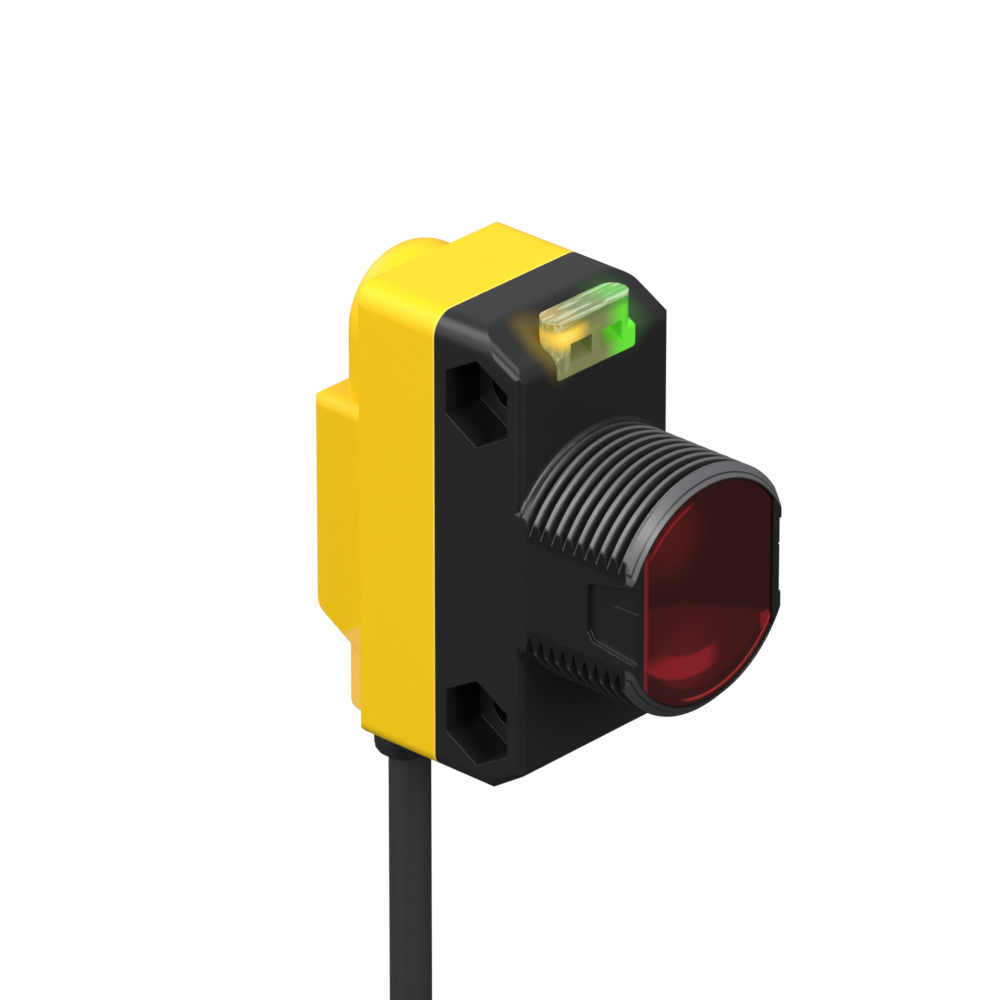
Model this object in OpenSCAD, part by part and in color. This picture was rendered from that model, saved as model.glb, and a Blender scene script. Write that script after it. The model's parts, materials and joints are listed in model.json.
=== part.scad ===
// Miniature photoelectric sensor with an 18 mm threaded barrel.
// Frame: +Z up, the lens looks along -Y, +X to the right as seen from behind.
// The origin is on the optical axis, at the middle of the two side fixing holes.

/* [Housing] */
// Width between the flat sides
body_w = 15; // [14.8:0.1:15.6]
// Top face above the optical axis
top_z = 17.4; // [17.3:0.1:18]
// Underside below the optical axis
bottom_drop = 16.9; // [16.6:0.1:17.4]
// Front face ahead of the fixing holes
front_reach = 4; // [3.9:0.1:4.4]
// Parting line behind the fixing holes
split_y = 3.85; // [3.8:0.05:4.1]
// Depth of the cover's flat part
slab_depth = 7.2; // [6.8:0.1:7.4]

/* [Barrel] */
// Outside diameter of the thread
thread_d = 18; // [18:0.1:18.2]
// Thread pitch
thread_pitch = 1; // [1:0.05:1.05]
// Number of thread grooves
thread_turns = 9; // [6:1:9]
// Front end of the barrel ahead of the fixing holes
nose_reach = 14.3; // [14.2:0.1:15]

/* [Fixing] */
// Distance between the two side holes
hole_spacing = 24.1; // [24:0.1:24.2]
// Diameter of each side hole
hole_d = 3.3; // [3.2:0.1:3.5]
// Nut pocket size across its flats
nut_af = 5.6; // [5.5:0.05:5.7]
// Depth of each nut pocket
nut_depth = 3.4; // [3:0.1:3.5]

/* [Adjuster] */
// Head diameter of the gain adjuster
knob_d = 3.8; // [3.6:0.1:4]
// Width of the screwdriver slot
slot_w = 0.6; // [0.5:0.1:0.8]

/* [Cable] */
// Outside diameter of the cable
cable_d = 3; // [2.9:0.1:3.2]
// Centre of the cable behind the fixing holes
cable_y = 13.3; // [13.2:0.1:13.4]

/* [Hidden] */
$fn = 72;

eps = 0.01;          // small overlap for clean cuts
past = 1;            // how far a cutter runs past a face
fit_gap = 0.05;      // clearance between fitted parts
half_w = body_w / 2;
bottom_z = -bottom_drop;
front_y = -front_reach;
nose_y = -nose_reach;
slab_y = split_y + slab_depth;
wall = 1.2;

// Rounding radii of the housing
top_corner_r = 1.7;      // upper long edges
bottom_corner_r = 1.1;   // lower long edges
front_edge_r = 0.65;     // upright front edges and the edges of the slopes
rear_edge_r = 0.35;      // upright rear edges of the cover

// Sloping faces of the front: run along Y and fall along Z
slope_run = 4.1;
slope_fall = 2.2;
under_run = 3.1;
under_rise = 2;

// Thread form
thread_r = thread_d / 2;
root_r = thread_r - 0.61 * thread_pitch;
groove_root = 0.06;      // half width of the groove's flat root
first_groove = 0.87;     // from the front face to the first groove
end_chamfer = 0.8;
flare_r = 0.35;          // fillet where the barrel meets the front face

// Lens and its seat
lens_r = 8;
lens_half_w = 6.45;
lens_t = 1.35;
lens_recess = 0.15;
lens_back_y = nose_y + lens_recess + lens_t;
bead_r = 6.2;            // rim radius of the convex rear of the lens
bead_sag = 2;
bead_half_w = 5.3;

// Inside of the barrel
bore_r = 7.3;
bore_half_w = 6.2;
chamber_half_h = 7.4;
chamber_half_w = 6.2;

// Cover's hump, and the block that holds the adjuster
hump_r = 5.5;
hump_y = 15.2;
hump_round = 2.7;
hump_axis_z = top_z - hump_r;
hump_foot_z = bottom_z + 0.5;
hump_foot_r = 1.3;
hump_floor = 1.6;        // thickness of the hump's foot
block_half_w = 6.05;
block_y = 16.6;
block_top_z = 7.05;
block_foot_z = -9;
block_slope = 0.6;       // fall of the block's lower face for each millimetre forward
block_edge_r = 0.6;
block_corner_r = 1;      // upper long edges of the block
block_knee_r = 2.2;      // where the back turns into the slanting lower face

// Light pipe
pipe_half_w = 3.9;
pipe_foot_z = 13.75;
pipe_top_z = 17.9;
pipe_r = 1.12;
pipe_foot_r = 0.3;       // lower corners of the light pipe's base
pipe_front_y = front_y - 0.02;
pipe_mid_y = pipe_front_y + pipe_r;
leg_z = [14.65, 15.85];
leg_half_w = 3.55;
leg_gap = 0.35;          // from the middle to each leg
leg_mid = (leg_gap + leg_half_w) / 2;
window_w = 2.1;
window_h = 1.5;
window_x = 1.5;
window_z = 14.6;

// Boards
board_t = 0.8;
board_y = 6.4;
board_back_y = board_y + board_t;
optics_board_y = -2.6;
beam_z = 3.1;            // height of each beam above or below the axis
aperture_r = 2;

// Adjuster
knob_r = knob_d / 2;
knob_y = block_y - 0.25;
boss_y = 13.6;
neck_r = 1.2;
stem_r = 0.9;
adjuster_top_y = 11.4;
seal_section_r = 0.35;

// Boot and cable
boot_half_w = 2.85;
boot_half_d = 1.7;
boot_end_z = -21.6;
boot_stem_r = 1.1;
collar_z = -14;
lead_r = 0.5;
lead_bend = cable_y - 0.7 - board_back_y;

// Folded hank of stored cable that hangs below the sensor
hank_top_z = -47;
hank_end_r = 13.95;
hank_straight = 50;
hank_front_y = -6.6;
hank_back_y = 14.85;
hank_waist = 6.85;
tie_h = 4;
tie_t = 1;
hank_mid_z = hank_top_z - hank_end_r - hank_straight / 2;
tail_x = 12.4;
tail_y = 10.25;
tail_top_z = -113;
tail_end_z = -132;
core_bend = 43;
core_sweep = 22;
tin_sweep = 6;
core_offset = 0.72;

// Route of the free cable from the boot to the hank
cable_route = [for (i = [0 : 9]) [0, cable_y, boot_end_z + (hank_top_z - boot_end_z) * i / 9]];
tail_route = [for (i = [0 : 6]) [tail_x, tail_y, tail_top_z + (tail_end_z - tail_top_z) * i / 6]];

// ---------- shape helpers ----------

function unit(v) = v / norm(v);

// Cutter that rounds corner p of a flat outline, between its neighbours a and b
module corner_cut(a, p, b, r) {
    u = unit(a - p);
    v = unit(b - p);
    half = acos(u * v) / 2;
    reach = r / tan(half);
    mid = unit(u + v);
    centre = p + mid * r / sin(half);
    difference() {
        polygon([p - mid * past, p + u * reach, centre, p + v * reach]);
        translate(centre) circle(r);
    }
}

// Flat outline with each corner rounded by its own radius
module soft_polygon(points, radii) {
    n = len(points);
    difference() {
        polygon(points);
        for (i = [0 : n - 1])
            if (radii[i] > 0)
                corner_cut(points[(i + n - 1) % n], points[i], points[(i + 1) % n], radii[i]);
    }
}

// Extrudes an outline drawn in X and Z from y0 to y1
module along_y(y0, y1) {
    translate([0, y1, 0]) rotate([90, 0, 0]) linear_extrude(height = y1 - y0) children();
}

// Extrudes an outline drawn in Y and Z from x0 to x1
module along_x(x0, x1) {
    translate([x0, 0, 0]) rotate([90, 0, 90]) linear_extrude(height = x1 - x0) children();
}

// Cylinder along Y
module rod_y(r, y0, y1, x = 0, z = 0) {
    translate([x, y1, z]) rotate([90, 0, 0]) cylinder(r = r, h = y1 - y0);
}

// Block from one corner to the other
module block(a, b) {
    translate(a) cube(b - a);
}

// Outline of the housing seen from the front, drawn smaller by inset
module face_outline(inset = 0) {
    w = half_w - inset;
    t = top_z - inset;
    f = bottom_z + inset;
    rt = max(top_corner_r - inset, 0.2);
    rb = max(bottom_corner_r - inset, 0.2);
    soft_polygon([[-w, f], [w, f], [w, t], [-w, t]], [rb, rb, rt, rt]);
}

// Circle with flats on both sides
module flatted_circle(r, half_flat) {
    intersection() {
        circle(r);
        square([half_flat * 2, r * 3], center = true);
    }
}

// Turns an outline of radius and depth about the optical axis
module turned(angle = 360) {
    rotate([90, 0, 0]) rotate_extrude(angle = angle) children();
}

// Tube swept along a vertical route
module swept_tube(route, d, sides = 8) {
    rows = len(route);
    points = [for (p = route) for (s = [0 : sides - 1])
              p + d / 2 * [cos(360 * s / sides), sin(360 * s / sides), 0]];
    skin = [for (j = [0 : rows - 2]) for (s = [0 : sides - 1])
            let (t = (s + 1) % sides)
            [j * sides + s, j * sides + t, (j + 1) * sides + t, (j + 1) * sides + s]];
    first = [for (s = [0 : sides - 1]) sides - 1 - s];
    last = [for (s = [0 : sides - 1]) (rows - 1) * sides + s];
    polyhedron(points = points, faces = concat(skin, [first, last]));
}

// ---------- front housing ----------

module front_side_outline() {
    soft_polygon(
        [[split_y, bottom_z], [split_y, top_z], [front_y + slope_run, top_z],
         [front_y, top_z - slope_fall], [front_y, bottom_z + under_rise],
         [front_y + under_run, bottom_z]],
        [0, 0, 2, 1.5, 0.6, 1]);
}

module front_plan_outline() {
    soft_polygon(
        [[-half_w, split_y], [-half_w, front_y], [half_w, front_y], [half_w, split_y]],
        [0, front_edge_r, front_edge_r, 0]);
}

// Rounds the side edges of a sloping face that passes through y, z at the given tilt
module slope_band(y, z, tilt) {
    depth = 60;
    translate([0, y, z]) rotate([90 + tilt, 0, 0]) linear_extrude(height = 90, center = true)
        soft_polygon([[-half_w, 0], [half_w, 0], [half_w, -depth], [-half_w, -depth]],
                     [front_edge_r, front_edge_r, 0, 0]);
}

module front_block() {
    intersection() {
        along_x(-half_w, half_w) front_side_outline();
        along_y(front_y - past, split_y + past) face_outline();
        translate([0, 0, bottom_z - past])
            linear_extrude(height = top_z - bottom_z + 2 * past) front_plan_outline();
        slope_band(front_y, top_z - slope_fall, atan(slope_fall / slope_run));
        mirror([0, 0, 1])
            slope_band(front_y, -bottom_z - under_rise, atan(under_rise / under_run));
    }
}

// Half section of the barrel: radius against distance ahead of the fixing holes
module barrel_section() {
    flank = (thread_r + eps - root_r) * tan(30);
    difference() {
        union() {
            polygon([[0, front_reach - past], [thread_r, front_reach - past],
                     [thread_r, nose_reach - end_chamfer],
                     [thread_r - end_chamfer, nose_reach], [0, nose_reach]]);
            difference() {
                translate([thread_r - eps, front_reach - eps])
                    square([flare_r + eps, flare_r + eps]);
                translate([thread_r + flare_r, front_reach + flare_r]) circle(flare_r);
            }
        }
        for (i = [0 : thread_turns - 1]) {
            at = front_reach + first_groove + i * thread_pitch;
            polygon([[root_r, at - groove_root], [thread_r + eps, at - groove_root - flank],
                     [thread_r + eps, at + groove_root + flank], [root_r, at + groove_root]]);
        }
        // Run-out of the thread just behind the end chamfer
        translate([thread_r + 0.02, nose_reach - end_chamfer - 0.1]) circle(0.1);
    }
}

module barrel() {
    intersection() {
        turned() barrel_section();
        block([-half_w, nose_y - past, -thread_r - past], [half_w, front_y + 2, thread_r + past]);
    }
}

// Nut pocket and through hole at one height
module fixing_cut(z) {
    translate([-half_w - past, 0, z]) rotate([0, 90, 0])
        cylinder(d = hole_d, h = body_w + 2 * past);
    translate([-half_w - past, 0, z]) rotate([0, 90, 0])
        cylinder(d = nut_af / cos(30), h = nut_depth + past, $fn = 6);
}

// Shallow window for the lens clip in each flat of the barrel, open at the front
module clip_window(side) {
    depth = 0.35;
    score = 0.12;
    near_y = -10.1;
    open_y = nose_y - past;
    floor_x = half_w - depth;
    mirror([side < 0 ? 1 : 0, 0, 0]) {
        along_x(floor_x, half_w + past)
            soft_polygon([[open_y, -2.8], [near_y - 0.45, -2.15], [near_y, -1.5],
                          [near_y, 2.1], [open_y, 3.24]],
                         [0, 0.3, 0.3, 0.45, 0]);
        // Scored line across the floor of the window
        block([floor_x - score, open_y, 1.05], [floor_x + eps, near_y - 2.1, 1.05 + score]);
    }
}

module front_housing() {
    color([0.14, 0.14, 0.15]) difference() {
        union() {
            front_block();
            barrel();
        }
        // Seat of the lens, bore of the barrel and chamber for the optics board
        along_y(nose_y - past, lens_back_y)
            flatted_circle(lens_r + fit_gap, lens_half_w + fit_gap);
        along_y(nose_y - past, front_y + 2) flatted_circle(bore_r, bore_half_w);
        block([-chamber_half_w, front_y + 1.2, -chamber_half_h],
              [chamber_half_w, split_y + past, chamber_half_h]);
        // Break of the barrel's front edges on its flats
        for (side = [-1, 1])
            translate([side * half_w, nose_y, 0]) rotate([0, 0, 45])
                cube([0.25, 0.25, 3 * thread_r], center = true);
        // Pocket for the light pipe and channel for its legs
        along_y(front_y - past, pipe_mid_y + eps) pipe_outline(fit_gap);
        pipe_ridge(pipe_foot_z - fit_gap, top_z + past, fit_gap);
        block([-leg_half_w - fit_gap, pipe_mid_y, leg_z[0] - fit_gap],
              [leg_half_w + fit_gap, split_y + past, leg_z[1] + fit_gap]);
        // Fixing holes with their nut pockets
        for (z = [-hole_spacing / 2, hole_spacing / 2]) fixing_cut(z);
        for (side = [-1, 1]) clip_window(side);
        // Groove for the weld seal
        seal_ring(0);
    }
}

// ---------- rear cover ----------

module slab_plan_outline() {
    soft_polygon(
        [[-half_w, split_y], [half_w, split_y], [half_w, slab_y], [-half_w, slab_y]],
        [0, 0, rear_edge_r, rear_edge_r]);
}

module slab_side_outline() {
    soft_polygon(
        [[split_y, bottom_z], [slab_y, bottom_z], [slab_y, top_z], [split_y, top_z]],
        [0, 0.95, 0.3, 0]);
}

module slab() {
    intersection() {
        along_x(-half_w, half_w) slab_side_outline();
        along_y(split_y, slab_y) face_outline();
        translate([0, 0, bottom_z - past])
            linear_extrude(height = top_z - bottom_z + 2 * past) slab_plan_outline();
    }
}

// Upright ridge with a domed top, from the parting line back to y, of half width r
module ridge(r, y, round_r, foot_z, foot_r, axis_z) {
    start = split_y + 2;
    intersection() {
        translate([0, 0, foot_z]) linear_extrude(height = axis_z - foot_z)
            soft_polygon([[-r, start], [r, start], [r, y], [-r, y]], [0, 0, round_r, round_r]);
        along_x(-half_w, half_w)
            soft_polygon([[start, foot_z], [y, foot_z], [y, top_z], [start, top_z]],
                         [0, foot_r, 0, 0]);
    }
    translate([0, 0, axis_z]) rotate([-90, 0, 0]) mirror([0, 1, 0])
        rotate_extrude(angle = 180)
            difference() {
                translate([0, start]) square([r, y - start]);
                corner_cut([0, y], [r, y], [r, start], round_r);
            }
}

// Block behind the hump that holds the adjuster, with a slanting lower face
module adjuster_block() {
    w = block_half_w;
    start = split_y + 3;
    low_z = block_foot_z - block_slope * (block_y - start);
    intersection() {
        along_x(-w, w)
            soft_polygon([[start, block_top_z], [start, low_z],
                          [block_y, block_foot_z], [block_y, block_top_z]],
                         [0, 0, block_knee_r, block_edge_r]);
        along_y(start, block_y)
            soft_polygon([[-w, bottom_z], [w, bottom_z], [w, block_top_z], [-w, block_top_z]],
                         [0, 0, block_corner_r, block_corner_r]);
        translate([0, 0, bottom_z]) linear_extrude(height = top_z - bottom_z)
            soft_polygon([[-w, start], [w, start], [w, block_y], [-w, block_y]],
                         [0, 0, block_edge_r, block_edge_r]);
    }
}

// Moulded scale arc with end ticks round the adjuster
module adjuster_scale() {
    scale_r = 3.1;
    deep = 0.18;
    half_line = 0.12;
    translate([0, block_y + past, 0]) rotate([90, 0, 0]) rotate([0, 0, -45])
        rotate_extrude(angle = 270)
            translate([scale_r - half_line, 0]) square([2 * half_line, past + deep]);
    for (a = [-135, 0, 135])
        translate([0, block_y, 0]) rotate([0, a, 0])
            block([-half_line, -deep, scale_r - 0.35], [half_line, past, scale_r + 0.35]);
}

module rear_cover() {
    color([0.98, 0.8, 0.1]) difference() {
        union() {
            slab();
            ridge(hump_r, hump_y, hump_round, hump_foot_z, hump_foot_r, hump_axis_z);
            adjuster_block();
        }
        difference() {
            union() {
                // Space behind the parting line, in the hump and in the block
                block([-half_w + wall, split_y - past, bottom_z + wall],
                      [half_w - wall, slab_y - wall, top_z - wall]);
                block([-hump_r + wall, slab_y - wall - past, hump_foot_z + hump_floor],
                      [hump_r - wall, hump_y - wall - 0.6, hump_axis_z]);
                block([-hump_r + wall, slab_y - wall - past, -6.5],
                      [hump_r - wall, block_y - wall - 0.2, block_top_z - wall]);
            }
            // Boss that guides the adjuster
            rod_y(knob_r + 1, boss_y, block_y);
        }
        rod_y(knob_r + fit_gap, boss_y - past, block_y + past);
        adjuster_scale();
        // Bore for the boot's stem
        translate([0, cable_y, bottom_z - past])
            cylinder(r = boot_stem_r + fit_gap, h = hump_foot_z + hump_floor - bottom_z + 2 * past);
    }
}

// Weld seal between the two halves, proud of the front half's rear face by nothing
module seal_ring(gap) {
    along_y(split_y - 0.45 + gap, split_y + (gap > 0 ? 0 : past)) difference() {
        face_outline(0.35 + gap);
        face_outline(0.85 - gap);
    }
}

module housing_seal() {
    color([0.2, 0.2, 0.2]) seal_ring(0.02);
}

// ---------- optics ----------

module front_lens() {
    ball_r = (bead_r * bead_r + bead_sag * bead_sag) / (2 * bead_sag);
    color([0.45, 0.05, 0.07]) union() {
        along_y(nose_y + lens_recess, lens_back_y - 0.02) flatted_circle(lens_r, lens_half_w);
        intersection() {
            translate([0, lens_back_y + bead_sag - ball_r, 0]) sphere(r = ball_r);
            block([-bead_half_w, lens_back_y - 0.1, -bead_r],
                  [bead_half_w, lens_back_y + bead_sag + past, bead_r]);
        }
    }
}

module optics_carrier() {
    mouth_y = lens_back_y + 0.03;
    floor_y = -8.2;
    rear_y = -2.7;
    color([0.1, 0.1, 0.1]) difference() {
        along_y(mouth_y, rear_y) flatted_circle(bore_r - fit_gap, bore_half_w - fit_gap);
        // Funnel in front of the two apertures
        intersection() {
            translate([0, floor_y, 0]) rotate([90, 0, 0])
                cylinder(r1 = 4.8, r2 = 6.9, h = floor_y - mouth_y + 0.2);
            block([-5.6, mouth_y - past, -bore_r], [5.6, floor_y, bore_r]);
        }
        for (z = [-beam_z, beam_z]) rod_y(aperture_r, floor_y - past, rear_y + past, 0, z);
        // Slot for the shield
        block([-4.55, -7.05, -0.2], [4.55, rear_y + past, 0.2]);
    }
}

module beam_shield() {
    color([0.75, 0.76, 0.78]) block([-4.5, -7, -0.15], [4.5, optics_board_y - 0.04, 0.15]);
}

module receiver_filter() {
    color([0.3, 0.02, 0.04]) rod_y(aperture_r - 0.03, -7.9, -7.3, 0, beam_z);
}

// Round optical package that stands on the optics board
module optical_package(z, tip) {
    body_r = 1.5;
    body_h = 1.6;
    rod_y(body_r, optics_board_y - body_h, optics_board_y, 0, z);
    translate([0, optics_board_y - body_h, z]) sphere(r = tip);
}

module emitter_diode() {
    color([0.85, 0.2, 0.2]) optical_package(-beam_z, 1.2);
}

module receiver_diode() {
    color([0.25, 0.22, 0.25]) optical_package(beam_z, 1.3);
}

module optics_board() {
    color([0.1, 0.4, 0.22]) difference() {
        block([-5.6, optics_board_y, -6.8], [5.6, optics_board_y + board_t, 6.8]);
        for (x = [-pin_x, pin_x]) for (z = [-pin_z, pin_z])
            rod_y(pin_r + 0.02, optics_board_y - past, optics_board_y + board_t + past, x, z);
    }
}

pin_x = 2.2;
pin_z = 6;
pin_r = 0.3;

module header_pins() {
    color([0.85, 0.75, 0.4])
        for (x = [-pin_x, pin_x]) for (z = [-pin_z, pin_z])
            rod_y(pin_r, optics_board_y - 0.05, board_y - 0.02, x, z);
}

// Outline of the light pipe's base seen from the front, grown by grow
module pipe_outline(grow) {
    w = pipe_half_w + grow;
    foot = pipe_foot_z - grow;
    soft_polygon([[-w, foot], [w, foot], [w, top_z + past], [-w, top_z + past]],
                 [pipe_foot_r + grow, pipe_foot_r + grow, 0, 0]);
}

// Upright rounded ridge of the light pipe, grown by grow
module pipe_ridge(z0, z1, grow) {
    r = pipe_r + grow;
    w = pipe_half_w + grow;
    translate([0, 0, z0]) linear_extrude(height = z1 - z0)
        soft_polygon([[-w, pipe_mid_y - r], [w, pipe_mid_y - r],
                      [w, pipe_mid_y + r], [-w, pipe_mid_y + r]],
                     [r - eps, r - eps, r - eps, r - eps]);
}

module light_pipe() {
    proud = 0.12;        // base stands this far above the sloping face
    color([0.75, 0.95, 0.55, 0.7]) difference() {
        union() {
            pipe_ridge(pipe_foot_z + 1, pipe_top_z, 0);
            // Base that fills the pocket and follows the sloping face
            intersection() {
                along_y(pipe_front_y, pipe_mid_y) pipe_outline(0);
                along_x(-half_w, half_w)
                    polygon([[pipe_front_y, pipe_foot_z], [front_y + slope_run, pipe_foot_z],
                             [front_y + slope_run, top_z + proud],
                             [front_y, top_z - slope_fall + proud],
                             [pipe_front_y, top_z - slope_fall]]);
            }
            // Two legs that lead back to the indicator diodes
            for (side = [-1, 1])
                translate([side > 0 ? leg_gap : -leg_half_w, pipe_mid_y, leg_z[0]])
                    cube([leg_half_w - leg_gap, board_y - 0.95 - pipe_mid_y, leg_z[1] - leg_z[0]]);
        }
        for (side = [-1, 1]) window_cut(side);
    }
}

// Square window in the front of the light pipe, with a wedge floor
module window_cut(side) {
    front = pipe_front_y;
    x = side * window_x;
    deep = 1.15;
    along_x(x - window_w / 2, x + window_w / 2)
        polygon([[front - past, window_z], [front, window_z], [front + deep, window_z + window_h * 0.45],
                 [front + deep * 0.7, window_z + window_h], [front - past, window_z + window_h]]);
}

// ---------- electronics ----------

module main_board() {
    color([0.1, 0.42, 0.24])
        block([-6, board_y, -14.9], [6, board_back_y, 15.9]);
}

module controller_chip() {
    color([0.12, 0.12, 0.13]) block([-2.5, board_back_y, 8], [2.5, board_back_y + 0.9, 13]);
}

module regulator_chip() {
    color([0.13, 0.13, 0.14]) block([2.9, board_back_y, -7.5], [5.4, board_back_y + 1.2, -4]);
}

module output_transistors() {
    color([0.13, 0.13, 0.14])
        for (z = [-7.4, -4.9])
            block([-5.2, board_back_y, z], [-3.6, board_back_y + 1, z + 1.4]);
}

module capacitors() {
    color([0.75, 0.6, 0.4])
        for (x = [-4.6, 3.6])
            block([x, board_back_y, 4], [x + 1.1, board_back_y + 1.1, 6]);
}

module resistors() {
    color([0.1, 0.1, 0.1])
        for (i = [0 : 4])
            block([4, board_back_y, 7.6 + i * 1.4], [5.2, board_back_y + 0.45, 8.2 + i * 1.4]);
}

// Small indicator diode on the front of the main board
module indicator(x) {
    mid = (leg_z[0] + leg_z[1]) / 2;
    block([x - 0.8, board_y - 0.45, mid - 0.5], [x + 0.8, board_y, mid + 0.5]);
    rod_y(0.45, board_y - 0.8, board_y - 0.44, x, mid);
}

module power_led() {
    color([0.3, 0.9, 0.3]) indicator(leg_mid);
}

module output_led() {
    color([1, 0.8, 0.2]) indicator(-leg_mid);
}

// ---------- gain adjuster ----------

module adjuster_body() {
    color([0.15, 0.3, 0.65]) difference() {
        block([-2.4, board_back_y, -2.4], [2.4, adjuster_top_y, 2.4]);
        rod_y(stem_r + fit_gap, board_back_y + 1, adjuster_top_y + past);
    }
}

module adjuster_rotor() {
    color([0.92, 0.92, 0.88]) difference() {
        union() {
            rod_y(stem_r, board_back_y + 1.6, 13.5);
            rod_y(knob_r, 13.4, 14);
            rod_y(neck_r, 13.9, 14.9);
            rod_y(knob_r, 14.8, knob_y);
        }
        // Screwdriver slot with an arrow at its upper end
        block([-slot_w / 2, knob_y - 0.6, -knob_r + 0.35], [slot_w / 2, knob_y + past, knob_r - 0.3]);
        translate([0, knob_y + past, 0]) rotate([90, 0, 0])
            linear_extrude(height = past + 0.6)
                polygon([[-0.75, 0.75], [0.75, 0.75], [0, knob_r - 0.25]]);
    }
}

module adjuster_seal() {
    mid_r = neck_r + 0.02 + seal_section_r;
    color([0.1, 0.1, 0.1]) translate([0, 14.4, 0]) rotate([90, 0, 0])
        rotate_extrude() translate([mid_r, 0]) circle(seal_section_r, $fn = 32);
}

// ---------- cable ----------

// One core inside the cover, bent from the boot to the main board
module inner_lead(i) {
    x = -2.1 + 1.4 * i;
    translate([x, cable_y - 0.7 - lead_bend, collar_z]) rotate([90, 0, 90])
        rotate_extrude(angle = 90) translate([lead_bend, 0]) circle(lead_r, $fn = 24);
}

module brown_inner_lead() { color([0.4, 0.2, 0.1]) inner_lead(0); }
module white_inner_lead() { color([0.92, 0.92, 0.9]) inner_lead(1); }
module blue_inner_lead() { color([0.1, 0.25, 0.65]) inner_lead(2); }
module black_inner_lead() { color([0.08, 0.08, 0.08]) inner_lead(3); }

// Oval with round ends, wider along X
module oval(half_long, half_short) {
    union() {
        square([2 * (half_long - half_short), 2 * half_short], center = true);
        for (side = [-1, 1]) translate([side * (half_long - half_short), 0]) circle(half_short);
    }
}

module cable_boot() {
    shoulder_z = boot_end_z + 1;
    color([0.12, 0.12, 0.12]) union() {
        translate([0, cable_y, shoulder_z]) linear_extrude(height = hump_foot_z - 0.02 - shoulder_z)
            oval(boot_half_w, boot_half_d);
        // Lower end drawn in towards the cable in three soft steps
        for (i = [0 : 2])
            translate([0, cable_y, boot_end_z + i * 0.33])
                linear_extrude(height = 1 - i * 0.33 + eps)
                    oval(boot_half_w - [0.75, 0.32, 0.08][i], boot_half_d - [0.17, 0.08, 0.02][i]);
        translate([0, cable_y, bottom_z - 0.1])
            cylinder(r = boot_stem_r, h = collar_z - bottom_z - 0.4);
        block([-2.65, cable_y - 2.1, collar_z - 0.65], [2.65, cable_y + 0.05, collar_z]);
    }
}

module cable() {
    color([0.16, 0.16, 0.16]) swept_tube(cable_route, cable_d);
}

module cable_tail() {
    color([0.16, 0.16, 0.16]) swept_tube(tail_route, cable_d);
}

// Half width of the hank at a height from its middle, drawn in where the tie holds it
function hank_half_w(z) =
    hank_waist + (hank_end_r - hank_waist) * (1 - cos(360 * z / hank_straight)) / 2;

module cable_hank() {
    end = hank_straight / 2;
    heights = [for (i = [-8 : 8]) end * i / 8];
    right = [for (z = heights) [hank_half_w(z), z]];
    left = [for (i = [len(heights) - 1 : -1 : 0]) [-hank_half_w(heights[i]), heights[i]]];
    color([0.16, 0.16, 0.16]) translate([0, 0, hank_mid_z]) along_y(hank_front_y, hank_back_y)
        union() {
            for (side = [-1, 1]) translate([0, side * end]) circle(hank_end_r);
            polygon(concat(right, left));
        }
}

module hank_tie() {
    inner = hank_waist + 0.05;
    color([0.85, 0.85, 0.85]) translate([0, 0, hank_mid_z - tie_h / 2])
        linear_extrude(height = tie_h)
            difference() {
                tie_outline(inner + tie_t, tie_t + 0.05);
                tie_outline(inner, 0.05);
            }
}

module tie_outline(half, grow) {
    soft_polygon([[-half, hank_front_y - grow], [half, hank_front_y - grow],
                  [half, hank_back_y + grow], [-half, hank_back_y + grow]],
                 [1.2, 1.2, 1.2, 1.2]);
}

// Arc that starts at the tail's end and bends outwards, from one sweep to another
module core_arc(i, from, sweep, r) {
    a = 45 + 90 * i;
    out = [cos(a), sin(a)];
    at = [tail_x, tail_y] + (core_offset + core_bend) * out;
    translate([at[0], at[1], tail_end_z]) rotate([0, 0, a]) rotate([90, 0, 0])
        rotate([0, 0, 180 + from]) rotate_extrude(angle = sweep)
            translate([core_bend, 0]) circle(r, $fn = 24);
}

module brown_core() { color([0.4, 0.2, 0.1]) core_arc(0, 0, core_sweep, lead_r); }
module white_core() { color([0.92, 0.92, 0.9]) core_arc(1, 0, core_sweep, lead_r); }
module blue_core() { color([0.1, 0.25, 0.65]) core_arc(2, 0, core_sweep, lead_r); }
module black_core() { color([0.08, 0.08, 0.08]) core_arc(3, 0, core_sweep, lead_r); }

module tinned_ends() {
    color([0.8, 0.8, 0.82]) for (i = [0 : 3]) core_arc(i, core_sweep, tin_sweep, 0.3);
}

front_housing();
rear_cover();
housing_seal();
front_lens();
light_pipe();
optics_carrier();
beam_shield();
receiver_filter();
emitter_diode();
receiver_diode();
optics_board();
header_pins();
main_board();
controller_chip();
regulator_chip();
output_transistors();
capacitors();
resistors();
power_led();
output_led();
adjuster_body();
adjuster_rotor();
adjuster_seal();
brown_inner_lead();
white_inner_lead();
blue_inner_lead();
black_inner_lead();
cable_boot();
cable();
cable_hank();
hank_tie();
cable_tail();
brown_core();
white_core();
blue_core();
black_core();
tinned_ends();
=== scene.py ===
"""Looks for a miniature photoelectric sensor: camera, cable, materials and studio.

Lengths in this file are millimetres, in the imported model's own frame: +Z up, the lens looks along
-Y, and the origin is on the optical axis between the two side holes. MM turns them into metres.
"""

import json
import math

import bpy
from mathutils import Matrix, Vector


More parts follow.
